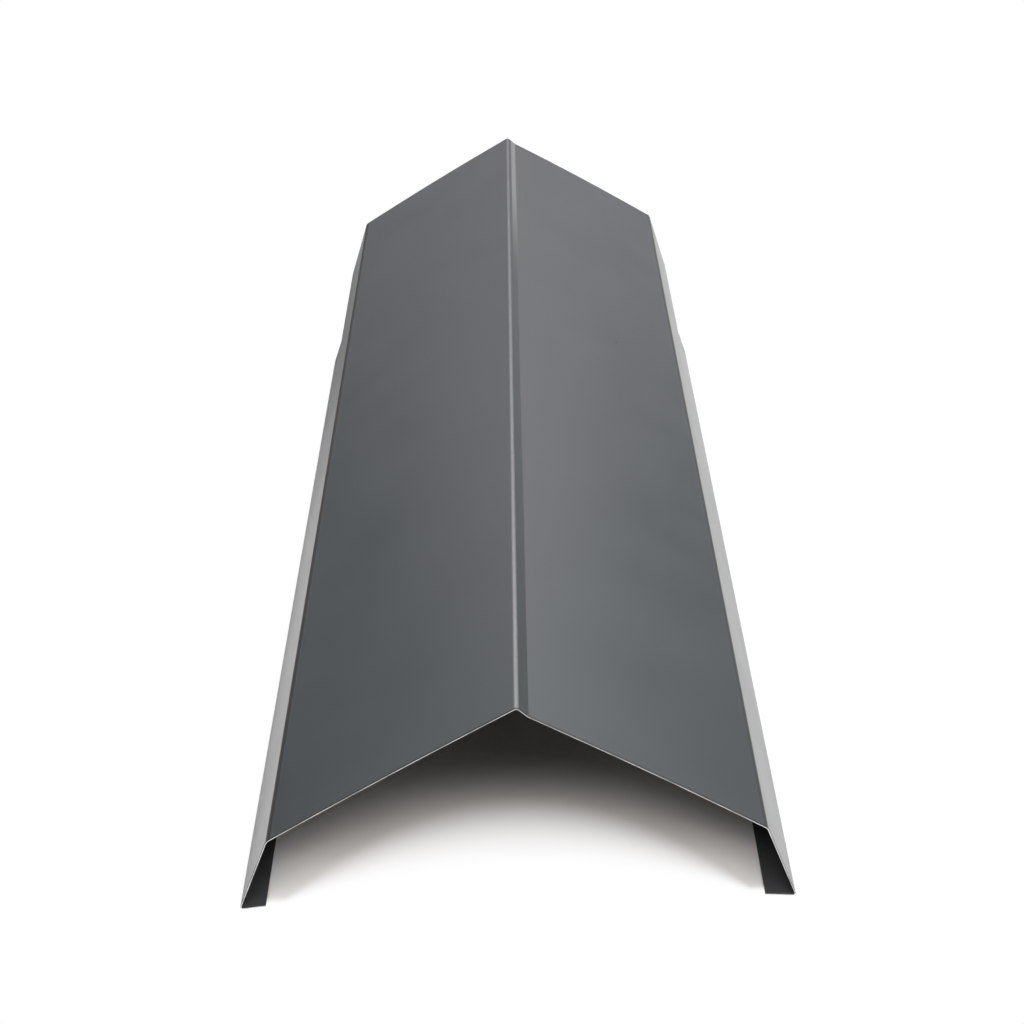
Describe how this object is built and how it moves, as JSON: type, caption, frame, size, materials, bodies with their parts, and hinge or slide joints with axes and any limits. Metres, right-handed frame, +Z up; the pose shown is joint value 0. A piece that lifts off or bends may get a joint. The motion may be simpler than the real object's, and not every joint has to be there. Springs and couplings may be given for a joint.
{
  "type": "roof hip capping",
  "caption": "Folded coated-metal capping for a roof hip: two wings off a rounded ridge, folded legs with inward returns, and a trimmed lap end.",
  "frame": {"origin": "on the floor under the middle of the capping, which rests on its two heel folds", "axes": "+Y along the ridge towards the lap end, +Z up, +X towards the wing with the narrow ridge strip"},
  "size_m": [0.3059, 1, 0.1257],
  "materials": {
    "coated_sheet": "satin"
  },
  "bodies": {
    "root": {"hip_capping": "coated_sheet"}
  },
  "joints": []
}
